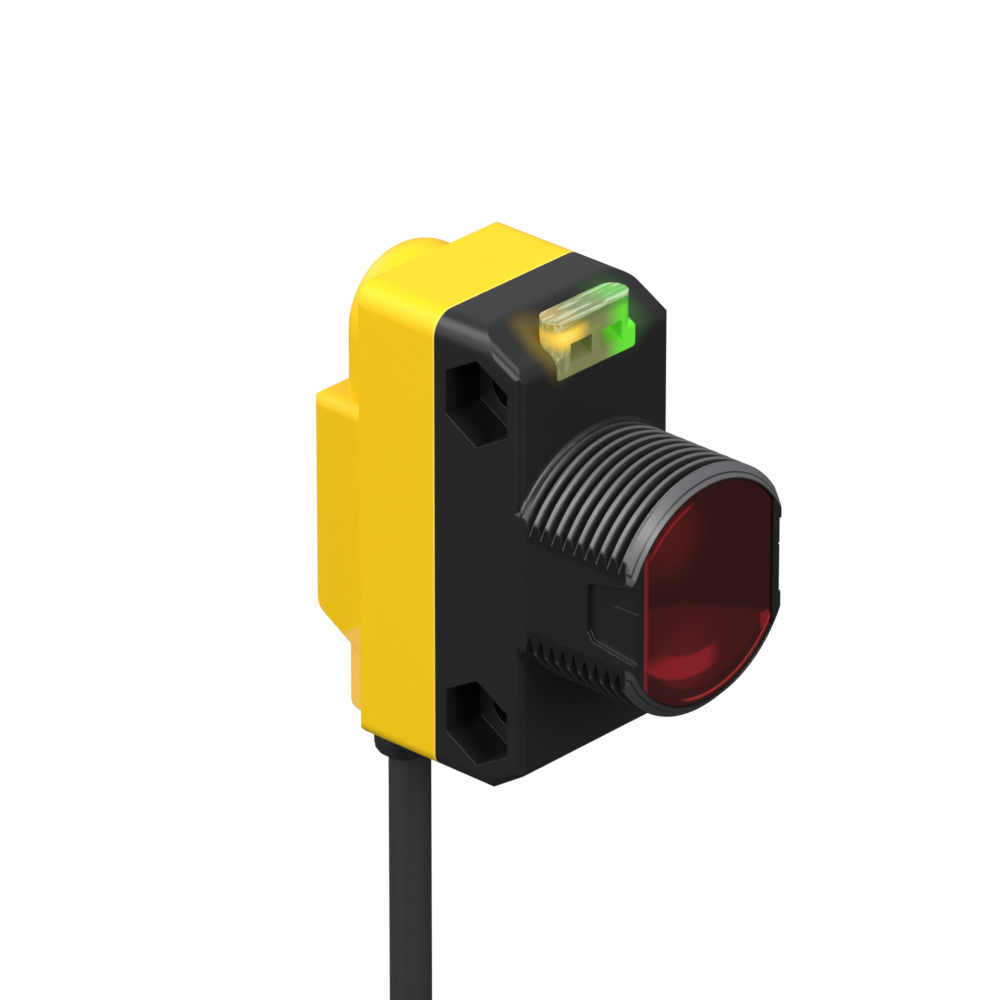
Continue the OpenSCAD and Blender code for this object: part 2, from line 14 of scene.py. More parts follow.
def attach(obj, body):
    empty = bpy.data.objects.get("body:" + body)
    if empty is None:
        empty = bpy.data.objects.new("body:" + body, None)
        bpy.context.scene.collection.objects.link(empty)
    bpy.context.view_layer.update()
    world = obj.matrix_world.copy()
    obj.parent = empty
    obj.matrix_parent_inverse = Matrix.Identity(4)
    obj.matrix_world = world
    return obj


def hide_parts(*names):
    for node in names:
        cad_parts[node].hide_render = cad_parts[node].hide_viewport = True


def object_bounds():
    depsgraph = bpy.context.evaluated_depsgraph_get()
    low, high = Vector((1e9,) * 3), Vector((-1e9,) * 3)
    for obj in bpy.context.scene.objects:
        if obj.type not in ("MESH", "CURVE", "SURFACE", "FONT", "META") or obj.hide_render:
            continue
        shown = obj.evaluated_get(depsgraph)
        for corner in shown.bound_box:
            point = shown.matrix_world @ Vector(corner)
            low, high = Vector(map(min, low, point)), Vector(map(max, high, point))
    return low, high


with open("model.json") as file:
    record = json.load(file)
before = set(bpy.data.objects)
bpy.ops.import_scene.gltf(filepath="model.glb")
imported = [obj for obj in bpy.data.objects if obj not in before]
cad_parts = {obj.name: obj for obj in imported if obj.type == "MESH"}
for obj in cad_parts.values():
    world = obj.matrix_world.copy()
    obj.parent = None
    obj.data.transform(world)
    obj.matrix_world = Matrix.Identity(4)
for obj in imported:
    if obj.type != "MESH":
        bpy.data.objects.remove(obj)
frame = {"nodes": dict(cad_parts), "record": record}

cad_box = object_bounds()
MM = 0.001
NODES = frame["nodes"]

# ---------- camera ----------

CAMERA_AZIMUTH = math.radians(-47.317)
CAMERA_ELEVATION = math.radians(26.571)
CAMERA_DISTANCE = 685.986
CAMERA_ASIDE = -3.497
CAMERA_ABOVE = 1.925
CAMERA_LENS = 363.69
SENSOR_WIDTH = 36.0
CLIP_NEAR = 50.0
CLIP_FAR = 20000.0


def place_camera():
    """A long lens from the front left and above, aimed a little beside the optical axis."""
    across = math.cos(CAMERA_ELEVATION)
    back = Vector((math.sin(CAMERA_AZIMUTH) * across, -math.cos(CAMERA_AZIMUTH) * across,
                   math.sin(CAMERA_ELEVATION)))
    right = Vector((math.cos(CAMERA_AZIMUTH), math.sin(CAMERA_AZIMUTH), 0))
    up = back.cross(right)
    place = back * CAMERA_DISTANCE + right * CAMERA_ASIDE + up * CAMERA_ABOVE
    data = bpy.data.cameras.new("camera")
    data.lens = CAMERA_LENS
    data.sensor_width = SENSOR_WIDTH
    data.clip_start = CLIP_NEAR * MM
    data.clip_end = CLIP_FAR * MM
    camera = bpy.data.objects.new("camera", data)
    turn = Matrix((right, up, back)).transposed().to_4x4()
    camera.matrix_world = Matrix.Translation(place * MM) @ turn
    bpy.context.scene.collection.objects.link(camera)
    bpy.context.scene.camera = camera


# ---------- cable ----------

CABLE_D = 3.0
CABLE_Y = 13.3
BOOT_END_Z = -21.6
HANK_TOP_Z = -47.0
RUN = 50.0            # straight part of each run of the hank
INNER_R = 9.1         # folds of the inner turns
OUTER_R = 12.4        # folds of the outer turns
INNER_WAIST = 1.8     # where the tie draws the runs in
OUTER_WAIST = 5.3
LAYER = 3.05          # from one layer of turns to the next, along Y
LAYERS = 6
TAIL_END_Z = -132.0
CROSS_START = 0.1     # where an up run starts to move over, as a share of the run past its middle
CROSS_SHARE = 0.4     # share of the run that the move takes
FOLD_STEPS = 14       # points in each fold, run and straight length of the line
RUN_STEPS = 12
FREE_STEPS = 9
LEAD_IN_STEPS = 10
TAIL_STEPS = 6
ROUNDING = 6          # steps of the tube's section in each quarter
TUBE_FACE_CORNERS = 4  # a face with more corners is an end cap

HIGH = HANK_TOP_Z - CABLE_D / 2 - OUTER_R
LOW = HIGH - RUN
MIDDLE = (HIGH + LOW) / 2


def ease(t):
    """0 to 1 with a soft start and end."""
    t = min(max(t, 0.0), 1.0)
    return (1 - math.cos(math.pi * t)) / 2


def spread(start, end, steps, last=False):
    """Evenly spaced values from start towards end, with the end itself if last is true."""
    return [start + (end - start) * i / steps for i in range(steps + last)]


def layer_y(k):
    return CABLE_Y - k * LAYER


def run_x(radius, waist, z):
    """How far a run is from the hank's middle: the fold's radius at its ends, less at the tie."""
    return waist + (radius - waist) * ease(abs(z - MIDDLE) / (RUN / 2))


def down_run(radius, waist, k, start=HIGH):
    return [(run_x(radius, waist, z), layer_y(k), z) for z in spread(start, LOW, RUN_STEPS)]


def up_run(radius, waist, k, next_k):
    """The left side of a turn, which moves over to the next layer near its top."""
    points = []
    for z in spread(LOW, HIGH, RUN_STEPS):
        move = ease((z - MIDDLE - RUN * CROSS_START) / (RUN * CROSS_SHARE))
        points.append((-run_x(radius, waist, z), layer_y(k + (next_k - k) * move), z))
    return points


def bottom_fold(radius, k):
    turns = spread(0, math.pi, FOLD_STEPS)
    return [(radius * math.cos(t), layer_y(k), LOW - radius * math.sin(t)) for t in turns]


def top_fold(radius, k, start_radius=None):
    """Half a turn over the top, which can grow from one radius to another on its way."""
    if start_radius is None:
        start_radius = radius
    points = []
    for t in spread(0, math.pi, FOLD_STEPS):
        r = start_radius + (radius - start_radius) * ease(t / math.pi)
        points.append((-r * math.cos(t), layer_y(k), HIGH + r * math.sin(t)))
    return points


def cable_route():
    """The whole cable in one line: free length, inner turns out, outer turns back, and the tail."""
    route = [(0, CABLE_Y, z) for z in spread(BOOT_END_Z, HANK_TOP_Z, FREE_STEPS, last=True)]
    for t in spread(0, 1, LEAD_IN_STEPS)[1:]:
        route.append((INNER_WAIST * ease(t), CABLE_Y, HANK_TOP_Z + (MIDDLE - HANK_TOP_Z) * t))
    route += down_run(INNER_R, INNER_WAIST, 0, start=MIDDLE)
    for k in range(LAYERS):
        if k > 0:
            route += top_fold(INNER_R, k) + down_run(INNER_R, INNER_WAIST, k)
        route += bottom_fold(INNER_R, k) + up_run(INNER_R, INNER_WAIST, k, k + 1)
    route += top_fold(OUTER_R, LAYERS, start_radius=INNER_R)
    for k in range(LAYERS, 1, -1):
        route += down_run(OUTER_R, OUTER_WAIST, k) + bottom_fold(OUTER_R, k)
        route += up_run(OUTER_R, OUTER_WAIST, k, k - 1) + top_fold(OUTER_R, k - 1)
    route += down_run(OUTER_R, OUTER_WAIST, 1)
    tail = spread(LOW, TAIL_END_Z, TAIL_STEPS, last=True)
    return route + [(OUTER_R, layer_y(1), z) for z in tail]


def make_cable():
    """A round tube along the route, as a mesh that stands for the cable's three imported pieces."""
    curve = bpy.data.curves.new("cable_run", "CURVE")
    curve.dimensions = "3D"
    curve.bevel_depth = CABLE_D / 2 * MM
    curve.bevel_resolution = ROUNDING
    curve.use_fill_caps = True
    route = cable_route()
    spline = curve.splines.new("POLY")
    spline.points.add(len(route) - 1)
    for point, place in zip(spline.points, route):
        point.co = (*(c * MM for c in place), 1)
    line = bpy.data.objects.new("cable_line", curve)
    bpy.context.scene.collection.objects.link(line)
    graph = bpy.context.evaluated_depsgraph_get()
    mesh = bpy.data.meshes.new_from_object(line.evaluated_get(graph))
    bpy.data.objects.remove(line)
    bpy.data.curves.remove(curve)
    for face in mesh.polygons:
        face.use_smooth = len(face.vertices) <= TUBE_FACE_CORNERS
    cable = bpy.data.objects.new("cable_run", mesh)
    bpy.context.scene.collection.objects.link(cable)
    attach(cable, "sensor")
    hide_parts("cable", "cable_hank", "cable_tail")
    tuple(c * MM for c in route[0])
    [tuple(c * MM for c in point) for point in route]
    return cable


# ---------- materials ----------

COLOUR_MIX = {"share": 0, "first": 6, "second": 7, "result": 2}  # a Mix node's colour slots
EDGE_SAMPLES = 6
PLASTIC_IOR = 1.49


class Wire:
    """A socket of a node tree, with which sums are written as ordinary arithmetic."""

    def __init__(self, nodes, socket):
        self.nodes = nodes
        self.socket = socket

    def __add__(self, other):
        return self.nodes.sum("ADD", self, other)

    def __radd__(self, other):
        return self.nodes.sum("ADD", other, self)

    def __sub__(self, other):
        return self.nodes.sum("SUBTRACT", self, other)

    def __rsub__(self, other):
        return self.nodes.sum("SUBTRACT", other, self)

    def __mul__(self, other):
        return self.nodes.sum("MULTIPLY", self, other)

    def __rmul__(self, other):
        return self.nodes.sum("MULTIPLY", other, self)

    def __truediv__(self, other):
        return self.nodes.sum("DIVIDE", self, other)

    def __rtruediv__(self, other):
        return self.nodes.sum("DIVIDE", other, self)

    def __pow__(self, other):
        return self.nodes.sum("POWER", self, other)

    def __neg__(self):
        return self.nodes.sum("MULTIPLY", self, -1.0)

    def __abs__(self):
        return self.nodes.sum("ABSOLUTE", self)


class Nodes:
    """The node tree of a material or of the world."""

    def __init__(self, tree):
        self.tree = tree

    def feed(self, slot, value):
        """Links a wire to a slot, or sets the slot's own value."""
        if isinstance(value, Wire):
            self.tree.links.new(value.socket, slot)
        elif isinstance(value, tuple) and len(value) < len(slot.default_value):
            slot.default_value = (*value, 1)
        else:
            slot.default_value = value

    def add(self, kind, settings, inputs, output=0):
        """Adds a node, sets and feeds it, and returns the wire of one output."""
        node = self.tree.nodes.new(kind)
        for name, value in settings.items():
            setattr(node, name, value)
        for name, value in inputs.items():
            self.feed(node.inputs[name], value)
        return Wire(self, node.outputs[output])

    def sum(self, how, *values):
        return self.add("ShaderNodeMath", {"operation": how}, dict(enumerate(values)))

    def white_to_camera(self, plain, white, end):
        """Shows white to the camera, and the plain look to all that it lights or is mirrored in."""
        seen = self.add("ShaderNodeLightPath", {}, {}, "Is Camera Ray")
        both = self.add("ShaderNodeMixShader", {}, {0: seen, 1: plain, 2: white})
        self.feed(self.tree.nodes[end].inputs["Surface"], both)


class Paint(Nodes):
    """One procedural material. Its places and sizes are in millimetres on the object."""

    def __init__(self, name):
        self.material = bpy.data.materials.new(name)
        self.material.use_nodes = True
        super().__init__(self.material.node_tree)
        self.shader = self.tree.nodes["Principled BSDF"]
        where = self.add("ShaderNodeTexCoord", {}, {}, "Object")
        self.place = self.add("ShaderNodeVectorMath", {"operation": "SCALE"},
                              {"Vector": where, "Scale": 1 / MM})
        self.x, self.y, self.z = (
            self.add("ShaderNodeSeparateXYZ", {}, {"Vector": self.place}, axis) for axis in "XYZ")

    def set(self, **inputs):
        """Sets or feeds the shader's inputs, such as base_color or roughness."""
        for name, value in inputs.items():
            title = name.replace("_", " ").title().replace("Ior", "IOR")
            self.feed(self.shader.inputs[title], value)

    def noise(self, size, detail=2.0, stretch=(1, 1, 1)):
        """Noise of about this grain size, from 0 to 1."""
        place = self.add("ShaderNodeVectorMath", {"operation": "MULTIPLY"},
                         {0: self.place, 1: stretch})
        return self.add("ShaderNodeTexNoise", {},
                        {"Vector": place, "Scale": 1 / size, "Detail": detail})

    def step(self, value, low, high):
        """0 below low, 1 above high, with a soft change between."""
        return self.add("ShaderNodeMapRange", {"interpolation_type": "SMOOTHSTEP"},
                        {"Value": value, "From Min": low, "From Max": high})

    def below(self, value, low, high):
        """1 below low, 0 above high, with a soft change between."""
        return 1 - self.step(value, low, high)

    def band(self, value, low, high, soft):
        """1 between low and high, and 0 beyond, with soft sides."""
        return (self.step(value, low - soft, low + soft)
                * self.below(value, high - soft, high + soft))

    def reach(self, x=0.0, z=0.0, wide=1.0, high=1.0):
        """Distance from a point, seen along Y, with the square of either direction weighted."""
        aside = self.x - x
        above = self.z - z
        return (aside * aside * wide + above * above * high) ** 0.5

    def above_line(self, x0, z0, x1, z1):
        """Distance above the line through two points, seen along Y."""
        length = math.hypot(x1 - x0, z1 - z0)
        return ((self.z - z0) * (x1 - x0) - (self.x - x0) * (z1 - z0)) / length

    def mix(self, share, first, second):
        """The first colour, turned into the second by share."""
        slots = COLOUR_MIX
        colours = {slots["share"]: share, slots["first"]: first, slots["second"]: second}
        return self.add("ShaderNodeMix", {"data_type": "RGBA"}, colours, slots["result"])

    def bump(self, height, depth, edge=None):
        """A normal from a height pattern of this depth, and sharp edges broken by a radius."""
        inputs = {"Height": height, "Distance": depth * MM, "Strength": 1.0}
        if edge is not None:
            inputs["Normal"] = self.add("ShaderNodeBevel", {"samples": EDGE_SAMPLES},
                                        {"Radius": edge * MM})
        self.set(normal=self.add("ShaderNodeBump", {}, inputs))


def tint(colour, share):
    return tuple(c * share for c in colour)


def moulded(name, colour, roughness, grain=0.12, depth=0.004, edge=0.12):
    """Satin moulded plastic: fine spark-eroded grain, slight cloudiness and softly broken edges."""
    paint = Paint(name)
    cloud = paint.noise(6.0, detail=3.0)
    paint.set(base_color=paint.mix(cloud, tint(colour, 0.94), tint(colour, 1.06)),
              roughness=roughness + uneven_gloss(paint))
    paint.bump(paint.noise(grain, detail=1.0), depth, edge)
    return paint


def uneven_gloss(paint, amount=0.08, size=2.5):
    """A small change of roughness in patches of this size, as much up as down."""
    return amount * (paint.noise(size) - 0.5)


# Softness of the side of a drawn band
HAIR = 0.03
CRISP = 0.05
FIRM = 0.08

YELLOW = (0.90, 0.565, 0.003)
YELLOW_ROUGHNESS = 0.45
WELD_BEAD = (0.97, 0.70, 0.07)
WELD_BEAD_Y = (3.7, 4.02)
PAINTED_THROUGH_LIGHT = (0.96, 0.56, 0.10)
DEEPER_YELLOW = (0.80, 0.47, 0.01)
SCALE_ARC_DARK = (0.35, 0.2, 0.01)
SCALE_ARC_R = (2.95, 3.25)
BLOCK_FACE_Y = (16.0, 16.2)


def yellow_cover():
    """Yellow plastic of the rear cover, with its weld bead, painted light through its thin foot and
    a darker moulded scale arc.
    """
    paint = moulded("yellow_moulding", YELLOW, YELLOW_ROUGHNESS)
    # The thin weld bead along the joint is paler
    seam = paint.band(paint.y, *WELD_BEAD_Y, CRISP)
    colour = paint.mix(seam, YELLOW, WELD_BEAD)
    # Painted light: the sides of the hump's foot are coloured pale orange, standing for light let
    # through its thin wall
    foot = paint.step(paint.y, 11.1, 11.4) * paint.below(paint.z + 0.6 * paint.y, -2.4, -1.9)
    through_light_mask = foot * paint.step(abs(paint.x), 2.0, 5.2)
    colour = paint.mix(through_light_mask * 0.85, colour, PAINTED_THROUGH_LIGHT)
    cloud = paint.noise(7.0, detail=3.0)
    colour = paint.mix(0.10 * cloud, colour, DEEPER_YELLOW)
    # The moulded arc and ticks round the adjuster are coloured darker
    ring = paint.band(paint.reach(), *SCALE_ARC_R, CRISP) * paint.step(paint.y, *BLOCK_FACE_Y)
    colour = paint.mix(ring * 0.35, colour, SCALE_ARC_DARK)
    paint.set(base_color=colour, specular_ior_level=0.3)
    return paint


BLACK = (0.0115, 0.0115, 0.0122)
BLACK_ROUGHNESS = 0.36
PAINTED_CREST_HIGHLIGHT = (0.125, 0.125, 0.131)
PAINTED_NOSE_HIGHLIGHT = (0.110, 0.110, 0.116)
PARTING_LINE = (0.012, 0.012, 0.012)
SHADED_GROOVE = (0.004, 0.004, 0.004)
AMBER_SPILL = (0.17, 0.12, 0.010)
GREEN_SPILL = (0.03, 0.12, 0.014)
BARREL_ROOT_Y = (-4.9, -4.3)
CREST_R = (8.84, 8.96)
GROOVE_R = (8.2, 8.8)
GROOVE_END_Y = (-13.5, -13.4)
NOSE_Y = (-13.62, -13.46)
NOSE_R = (8.12, 8.24)
PARTING_LINE_R = (8.42, 8.52)
UPPER_SIDE_Z = (-2.0, 5.0)
FRONT_FACE_Y = (-1.0, 0.6)


def black_housing():
    """Black plastic of the front housing, with painted highlights on the barrel and painted
    indicator light beside the light pipe.
    """
    paint = moulded("black_moulding", BLACK, BLACK_ROUGHNESS, edge=0.1)
    # The barrel is smoother than the body, and painted highlights make the thread's crests and its
    # nose paler, most on the upper side where the light falls
    barrel = paint.below(paint.y, *BARREL_ROOT_Y)
    radius = paint.reach()
    crest = barrel * paint.step(radius, *CREST_R)
    nose = barrel * paint.below(paint.y, *NOSE_Y) * paint.step(radius, *NOSE_R)
    upper = paint.step(paint.z, *UPPER_SIDE_Z)
    colour = paint.mix(crest * (0.25 + 0.75 * upper), BLACK, PAINTED_CREST_HIGHLIGHT)
    colour = paint.mix(nose * (0.35 + 0.65 * upper), colour, PAINTED_NOSE_HIGHLIGHT)
    line = nose * paint.band(radius, *PARTING_LINE_R, HAIR)
    colour = paint.mix(line * 0.9, colour, PARTING_LINE)
    groove = barrel * paint.band(radius, *GROOVE_R, CRISP) * paint.step(paint.y, *GROOVE_END_Y)
    colour = paint.mix(groove * 0.7, colour, SHADED_GROOVE)
    # Indicator light that spills on the slope at either end of the light pipe
    face = paint.below(paint.y, *FRONT_FACE_Y)
    amber = paint.below(paint.reach(-3.3, 15.9, high=0.6), 0.2, 2.3) * face
    green = paint.below(paint.reach(3.7, 16.2, high=0.7), 0.3, 2.8) * face
    colour = paint.mix(amber * 0.8, colour, AMBER_SPILL)
    colour = paint.mix(green * 0.6, colour, GREEN_SPILL)
    paint.set(base_color=colour, roughness=BLACK_ROUGHNESS - 0.08 * barrel + uneven_gloss(paint))
    return paint


LENS_DARK = (0.030, 0.0048, 0.0046)
LENS_MIDDLE = (0.068, 0.0065, 0.0075)
LENS_WARM = (0.095, 0.008, 0.008)
LENS_NEAR = (0.13, 0.010, 0.012)
LENS_SHADE = (0.035, 0.006, 0.006)
LENS_SIDE = (0.24, 0.014, 0.017)
LENS_GLOW = (0.30, 0.015, 0.019)
LENS_RIM = (0.42, 0.03, 0.03)
# The two straight edges of the dark part, each from X, Z to X, Z
LEFT_FOLD = (-6.5, 1.1, -2.35, 0.2)
RIGHT_FOLD = (-2.35, 0.2, 6.2, -3.7)
FOLD_SOFT = 0.25
CRESCENT_R = (6.35, 8.0)
CRESCENT_SOFT = 0.14
UNDER_R = (6.7, 6.9)
RIM_LINE_R = (7.52, 7.72)
RIM_LINE_SOFT = 0.07
UPPER_ARC_R = (7.18, 7.42)
LENS_EDGE_X = (5.75, 6.25)
RIGHT_HIGHLIGHT_X = (5.45, 6.3)
RIGHT_HIGHLIGHT_Z = (-4.8, -3.6)
RIGHT_HIGHLIGHT_SOFT = 0.06


def red_lens():
    """Deep red optical plastic: painted shade darkens its middle, and painted light and reflections
    brighten its rim and edges.
    """
    paint = Paint("red_lens")
    radius = paint.reach()
    cloud = 0.35 * (paint.noise(2.2, detail=3.0) - 0.5)
    # Painted light: below the two beams the lens is coloured paler, standing for light caught by
    # its nearer rear
    left = paint.below(paint.above_line(*LEFT_FOLD) + cloud, -FOLD_SOFT, FOLD_SOFT)
    right = paint.below(paint.above_line(*RIGHT_FOLD) + cloud, -FOLD_SOFT, FOLD_SOFT)
    colour = paint.mix(left * right * 0.85, LENS_DARK, LENS_MIDDLE)
    # Painted light, warmer and brighter towards the upper left and above the crescent
    warm = paint.below(paint.reach(-3.6, 5.2), 0.6, 4.2)
    colour = paint.mix(warm * 0.8, colour, LENS_WARM)
    near = paint.below(paint.reach(-2.4, -4.4), 0.8, 4.4)
    colour = paint.mix(near * 0.6, colour, LENS_NEAR)
    # Broad crescent mirrored in the lower rim
    crescent = paint.band(paint.reach(-0.6, 2.2), *CRESCENT_R, CRESCENT_SOFT)
    crescent = crescent * paint.below(paint.z, -4.2, -2.6) * paint.below(paint.x, -0.4, 1.6)
    colour = paint.mix(crescent * 0.78, colour, LENS_GLOW)
    # Painted shade in a dark band under the crescent, then a painted highlight in the thin bright
    # line of the rim
    under = paint.step(radius, *UNDER_R) * paint.below(paint.z, -4.6, -3.4)
    colour = paint.mix(under * (1 - crescent) * 0.8, colour, LENS_SHADE)
    line = paint.band(radius, *RIM_LINE_R, RIM_LINE_SOFT) * paint.below(paint.z, -4.0, -3.0)
    colour = paint.mix(line * paint.step(paint.x, -3.0, -1.0) * 0.9, colour, LENS_RIM)
    # Painted highlights: a bright arc at the top, a bright left edge and a bright patch at the
    # lower right edge
    arc = paint.band(radius, *UPPER_ARC_R, FIRM) * paint.step(paint.z, 4.2, 5.0)
    colour = paint.mix(arc * paint.below(paint.x, -2.3, -1.2) * 0.75, colour, LENS_GLOW)
    colour = paint.mix(paint.step(-paint.x, *LENS_EDGE_X) * 0.8, colour, LENS_SIDE)
    right_edge_highlight = paint.band(paint.x, *RIGHT_HIGHLIGHT_X, RIGHT_HIGHLIGHT_SOFT) * paint.band(paint.z, *RIGHT_HIGHLIGHT_Z, RIGHT_HIGHLIGHT_SOFT)
    colour = paint.mix(right_edge_highlight * 0.55, colour, LENS_GLOW)
    paint.set(base_color=colour, roughness=0.07, coat_weight=0.25, coat_roughness=0.03,
              ior=PLASTIC_IOR, specular_ior_level=0.3)
    paint.bump(paint.noise(3.0), 0.003)
    return paint


PIPE_OLIVE = (0.29, 0.30, 0.12)
PIPE_AMBER = (0.93, 0.64, 0.07)
PIPE_CORE = (1.0, 0.86, 0.22)
PIPE_LIME = (0.14, 0.76, 0.04)
PIPE_DRAWN = (0.62, 0.55, 0.30)
PIPE_WINDOW = (0.07, 0.085, 0.012)
PIPE_TOP = (0.15, 0.24, 0.05)
PIPE_TOP_LIME = (0.10, 0.50, 0.05)
PIPE_TOP_AMBER = (0.50, 0.32, 0.05)
PIPE_BRIM = (0.86, 0.90, 0.55)
PIPE_STREAK = (0.66, 0.78, 0.50)
GLOW_NONE = (0.02, 0.025, 0.004)
GLOW_AMBER = (0.80, 0.42, 0.02)
GLOW_LIME = (0.05, 0.34, 0.01)
GLOW_TOP = (0.02, 0.03, 0.01)
WINDOW_X = (0.5, 2.5)
WINDOW_Z = (14.6, 16.1)
PIPE_TOP_Z = (16.9, 17.6)
BRIM_Z = (17.76, 17.86)


def clear_pipe():
    """Clear plastic with the light of the two indicators painted into its colour and glow: yellow
    at -X, green at +X.
    """
    paint = Paint("clear_pipe")
    wave = 0.35 * paint.noise(1.2)
    spot = paint.reach(-2.7, 16.8, wide=0.4) + wave
    left = paint.below(spot, 0.5, 1.7)
    core = paint.below(spot, 0.2, 0.9)
    right = paint.step(paint.x + wave, 0.9, 3.0)
    # Draw lines in the clear plastic at the left end
    drawn = paint.step(paint.noise(0.5, stretch=(2.2, 2.2, 0.3)), 0.56, 0.66)
    drawn = drawn * paint.below(paint.x, -3.0, -2.0)
    colour = paint.mix(drawn * 0.6, PIPE_OLIVE, PIPE_DRAWN)
    # Painted light of the two indicators: a yellow hot spot at the left end and green towards the
    # right
    colour = paint.mix(left * 0.9, colour, PIPE_AMBER)
    colour = paint.mix(core * 0.9, colour, PIPE_CORE)
    colour = paint.mix(right, colour, PIPE_LIME)
    # The two windows are darker
    window = paint.band(abs(paint.x), *WINDOW_X, FIRM) * paint.band(paint.z, *WINDOW_Z, FIRM)
    colour = paint.mix(window * 0.45, colour, PIPE_WINDOW)
    # Painted indicator light on the ridge's rounded top, green at one end and yellow at the other
    top = paint.step(paint.z, *PIPE_TOP_Z)
    colour = paint.mix(top * 0.75, colour, PIPE_TOP)
    colour = paint.mix(top * paint.step(paint.x, 0.6, 3.0) * 0.8, colour, PIPE_TOP_LIME)
    colour = paint.mix(top * paint.below(paint.x, -3.4, -0.6) * 0.8, colour, PIPE_TOP_AMBER)
    # Painted highlight where the ridge's top edge catches the light, and painted reflections in
    # streaks along it
    brim = paint.band(paint.z, *BRIM_Z, HAIR)
    colour = paint.mix(brim * 0.7, colour, PIPE_BRIM)
    streak = paint.step(paint.noise(0.8, stretch=(0.25, 2.4, 1)), 0.50, 0.62)
    colour = paint.mix(top * streak * 0.7, colour, PIPE_STREAK)
    # Painted glow of the two indicators, given off by the pipe itself
    hot = paint.mix(left, GLOW_NONE, GLOW_AMBER)
    hot = paint.mix(right, hot, GLOW_LIME)
    paint.set(base_color=colour, roughness=0.08, transmission_weight=0.25, ior=PLASTIC_IOR,
              emission_color=paint.mix(0.8 * top, hot, GLOW_TOP), emission_strength=0.55,
              coat_weight=1.0, coat_roughness=0.02)
    return paint


JACKET_DARK = (0.021, 0.020, 0.018)
JACKET_PALE = (0.029, 0.027, 0.025)


def cable_jacket():
    """Matt black jacket, faintly clouded along its length."""
    paint = Paint("cable_jacket")
    cloud = paint.noise(3.0, detail=3.0, stretch=(1, 1, 0.25))
    paint.set(base_color=paint.mix(cloud, JACKET_DARK, JACKET_PALE),
              roughness=0.55 + uneven_gloss(paint, 0.1, 1.2))
    paint.bump(paint.noise(0.25), 0.008)
    return paint


LAMP_CORE = (1, 1, 0.8)
LAMP_STRENGTH = 5.0


def lamp(name, colour):
    """Lit indicator diode in clear epoxy."""
    paint = Paint(name)
    hot = 1 - paint.step(paint.noise(0.8), 0.3, 0.8)
    paint.set(base_color=tint(colour, 0.8), roughness=0.15, emission_strength=LAMP_STRENGTH,
              emission_color=paint.mix(0.3 * hot, colour, LAMP_CORE))
    return paint


def metal(name, colour, roughness):
    """Bare or plated metal with fine drawn lines."""
    paint = Paint(name)
    lines = paint.noise(0.15, stretch=(1, 0.1, 1))
    paint.set(base_color=paint.mix(lines, tint(colour, 0.85), colour), metallic=1.0,
              roughness=roughness + 0.1 * (lines - 0.5))
    return paint


BOARD_GREEN = (0.01, 0.16, 0.05)
TRACK_GREEN = (0.05, 0.28, 0.1)


def laminate():
    """Green circuit board with the faint pattern of copper tracks under its solder mask."""
    paint = Paint("board_laminate")
    tracks = paint.add("ShaderNodeTexBrick", {},
                       {"Vector": paint.place, "Scale": 0.8, "Mortar Size": 0.06}, "Fac")
    paint.set(base_color=paint.mix(tracks * 0.5, BOARD_GREEN, TRACK_GREEN),
              roughness=0.3, coat_weight=0.4)
    paint.bump(tracks, 0.02)
    return paint


SLOT_PAINTS = {
    "black_moulding": black_housing,
    "yellow_moulding": yellow_cover,
    "seal_rubber": lambda: moulded("seal_rubber", (0.03, 0.03, 0.03), 0.7, edge=0.02),
    "red_lens": red_lens,
    "clear_pipe": clear_pipe,
    "carrier_plastic": lambda: moulded("carrier_plastic", (0.012, 0.012, 0.012), 0.6),
    "shield_steel": lambda: metal("shield_steel", (0.62, 0.62, 0.64), 0.28),
    "filter_glass": lambda: moulded("filter_glass", (0.1, 0.004, 0.008), 0.1, depth=0.001),
    "emitter_epoxy": lambda: moulded("emitter_epoxy", (0.55, 0.03, 0.03), 0.12, depth=0.001),
    "receiver_epoxy": lambda: moulded("receiver_epoxy", (0.05, 0.03, 0.05), 0.12, depth=0.001),
    "board_laminate": laminate,
    "pin_metal": lambda: metal("pin_metal", (0.83, 0.66, 0.3), 0.25),
    "chip_epoxy": lambda: moulded("chip_epoxy", (0.018, 0.018, 0.019), 0.5, edge=0.05),
    "ceramic": lambda: moulded("ceramic", (0.42, 0.3, 0.16), 0.45, edge=0.05),
    "green_epoxy": lambda: lamp("green_epoxy", (0.12, 1.0, 0.05)),
    "yellow_epoxy": lambda: lamp("yellow_epoxy", (1.0, 0.5, 0.03)),
    "adjuster_case": lambda: moulded("adjuster_case", (0.015, 0.06, 0.32), 0.4),
    "adjuster_head": lambda: moulded("adjuster_head", (0.72, 0.72, 0.66), 0.38, edge=0.08),
    "brown_insulation": lambda: moulded("brown_insulation", (0.13, 0.045, 0.018), 0.35),
    "white_insulation": lambda: moulded("white_insulation", (0.78, 0.78, 0.75), 0.35),
    "blue_insulation": lambda: moulded("blue_insulation", (0.012, 0.06, 0.36), 0.35),
    "black_insulation": lambda: moulded("black_insulation", (0.014, 0.014, 0.014), 0.35),
    "cable_jacket": cable_jacket,
    "boot_rubber": lambda: moulded("boot_rubber", (0.012, 0.012, 0.013), 0.5, depth=0.006),
    "tie_plastic": lambda: moulded("tie_plastic", (0.7, 0.7, 0.68), 0.4, edge=0.15),
    "tinned_copper": lambda: metal("tinned_copper", (0.74, 0.74, 0.76), 0.3),
}


def finish_nodes(cable):
    """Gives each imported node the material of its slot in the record, and the cable its jacket."""
    slots = {part["node"]: part["material_slot"] for part in frame["record"]["subparts"]}
    paints = {slot: make().material for slot, make in SLOT_PAINTS.items()}
    for name, thing in NODES.items():
        thing.data.materials.clear()
        thing.data.materials.append(paints[slots[name]])
    cable.data.materials.append(paints["cable_jacket"])


# ---------- studio ----------

FLOOR_DROP = 6.0
FLOOR_HALF = 2500.0
FLOOR_TONE = (0.03, 0.03, 0.03)
WHITE = (1, 1, 1)
SKY_TONE = (0.9, 0.93, 1.0)
SKY_STRENGTH = 0.22

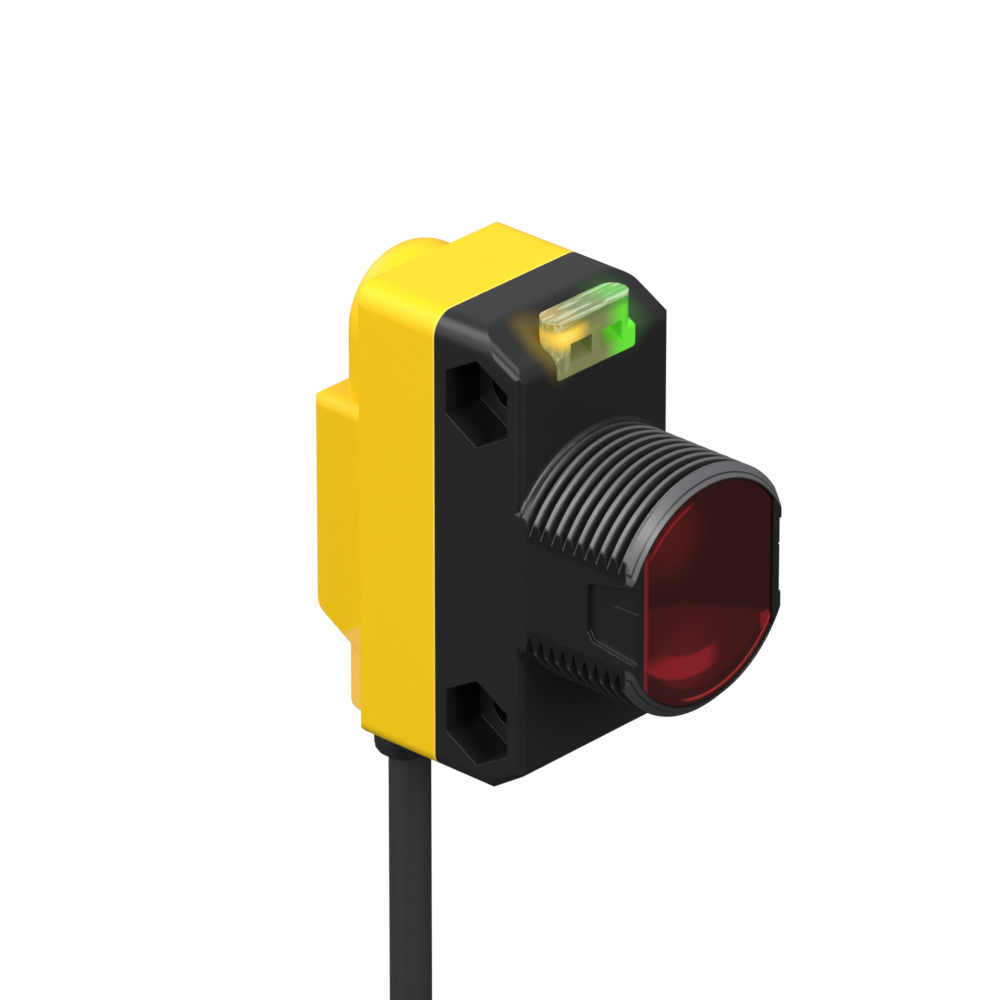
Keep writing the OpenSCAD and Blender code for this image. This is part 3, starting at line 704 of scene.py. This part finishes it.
# Name, azimuth and elevation in degrees as the camera's are, distance, size, power in watts
LIGHTS = (
    ("overhead", 20, 78, 900, 700, 3.9),
    ("left", -100, 22, 900, 700, 6.1),
    ("front", -5, 25, 1000, 500, 8.0),
    ("over_shoulder", -146, 42, 1000, 500, 3.3),
    ("far_side", 133, 30, 1100, 800, 0.6),
    ("rear", 172, 15, 1000, 600, 2.6),
)


def make_floor():
    """Plain floor, white to the camera and dull to the object above it."""
    z = cad_box[0][2] / MM - FLOOR_DROP
    h = FLOOR_HALF
    corners = [(-h, -h, z), (h, -h, z), (h, h, z), (-h, h, z)]
    mesh = bpy.data.meshes.new("floor")
    mesh.from_pydata([tuple(c * MM for c in p) for p in corners], [], [(0, 1, 2, 3)])
    floor = bpy.data.objects.new("floor", mesh)
    bpy.context.scene.collection.objects.link(floor)
    paint = Paint("floor")
    paint.set(base_color=FLOOR_TONE, roughness=0.8)
    plain = Wire(paint, paint.shader.outputs["BSDF"])
    white = paint.add("ShaderNodeEmission", {}, {"Color": WHITE})
    paint.white_to_camera(plain, white, "Material Output")
    mesh.materials.append(paint.material)


def soft_light(name, azimuth, elevation, distance, size, power):
    """A square area lamp aimed at the sensor from a direction given as the camera's is."""
    a = math.radians(azimuth)
    e = math.radians(elevation)
    back = Vector((math.sin(a) * math.cos(e), -math.cos(a) * math.cos(e), math.sin(e)))
    data = bpy.data.lights.new(name, "AREA")
    data.shape = "SQUARE"
    data.size = size * MM
    data.energy = power
    light = bpy.data.objects.new(name, data)
    light.location = back * distance * MM
    light.rotation_euler = back.to_track_quat("Z", "Y").to_euler()
    bpy.context.scene.collection.objects.link(light)


def make_studio():
    """Faint even sky, white to the camera, and the soft lights."""
    world = bpy.data.worlds.new("studio")
    world.use_nodes = True
    nodes = Nodes(world.node_tree)
    sky = nodes.add("ShaderNodeBackground", {}, {"Color": SKY_TONE, "Strength": SKY_STRENGTH})
    white = nodes.add("ShaderNodeBackground", {}, {"Color": WHITE})
    nodes.white_to_camera(sky, white, "World Output")
    bpy.context.scene.world = world
    for light in LIGHTS:
        soft_light(*light)
    bpy.context.scene.view_settings.view_transform = "Standard"


place_camera()
cable = make_cable()
finish_nodes(cable)
make_floor()
make_studio()
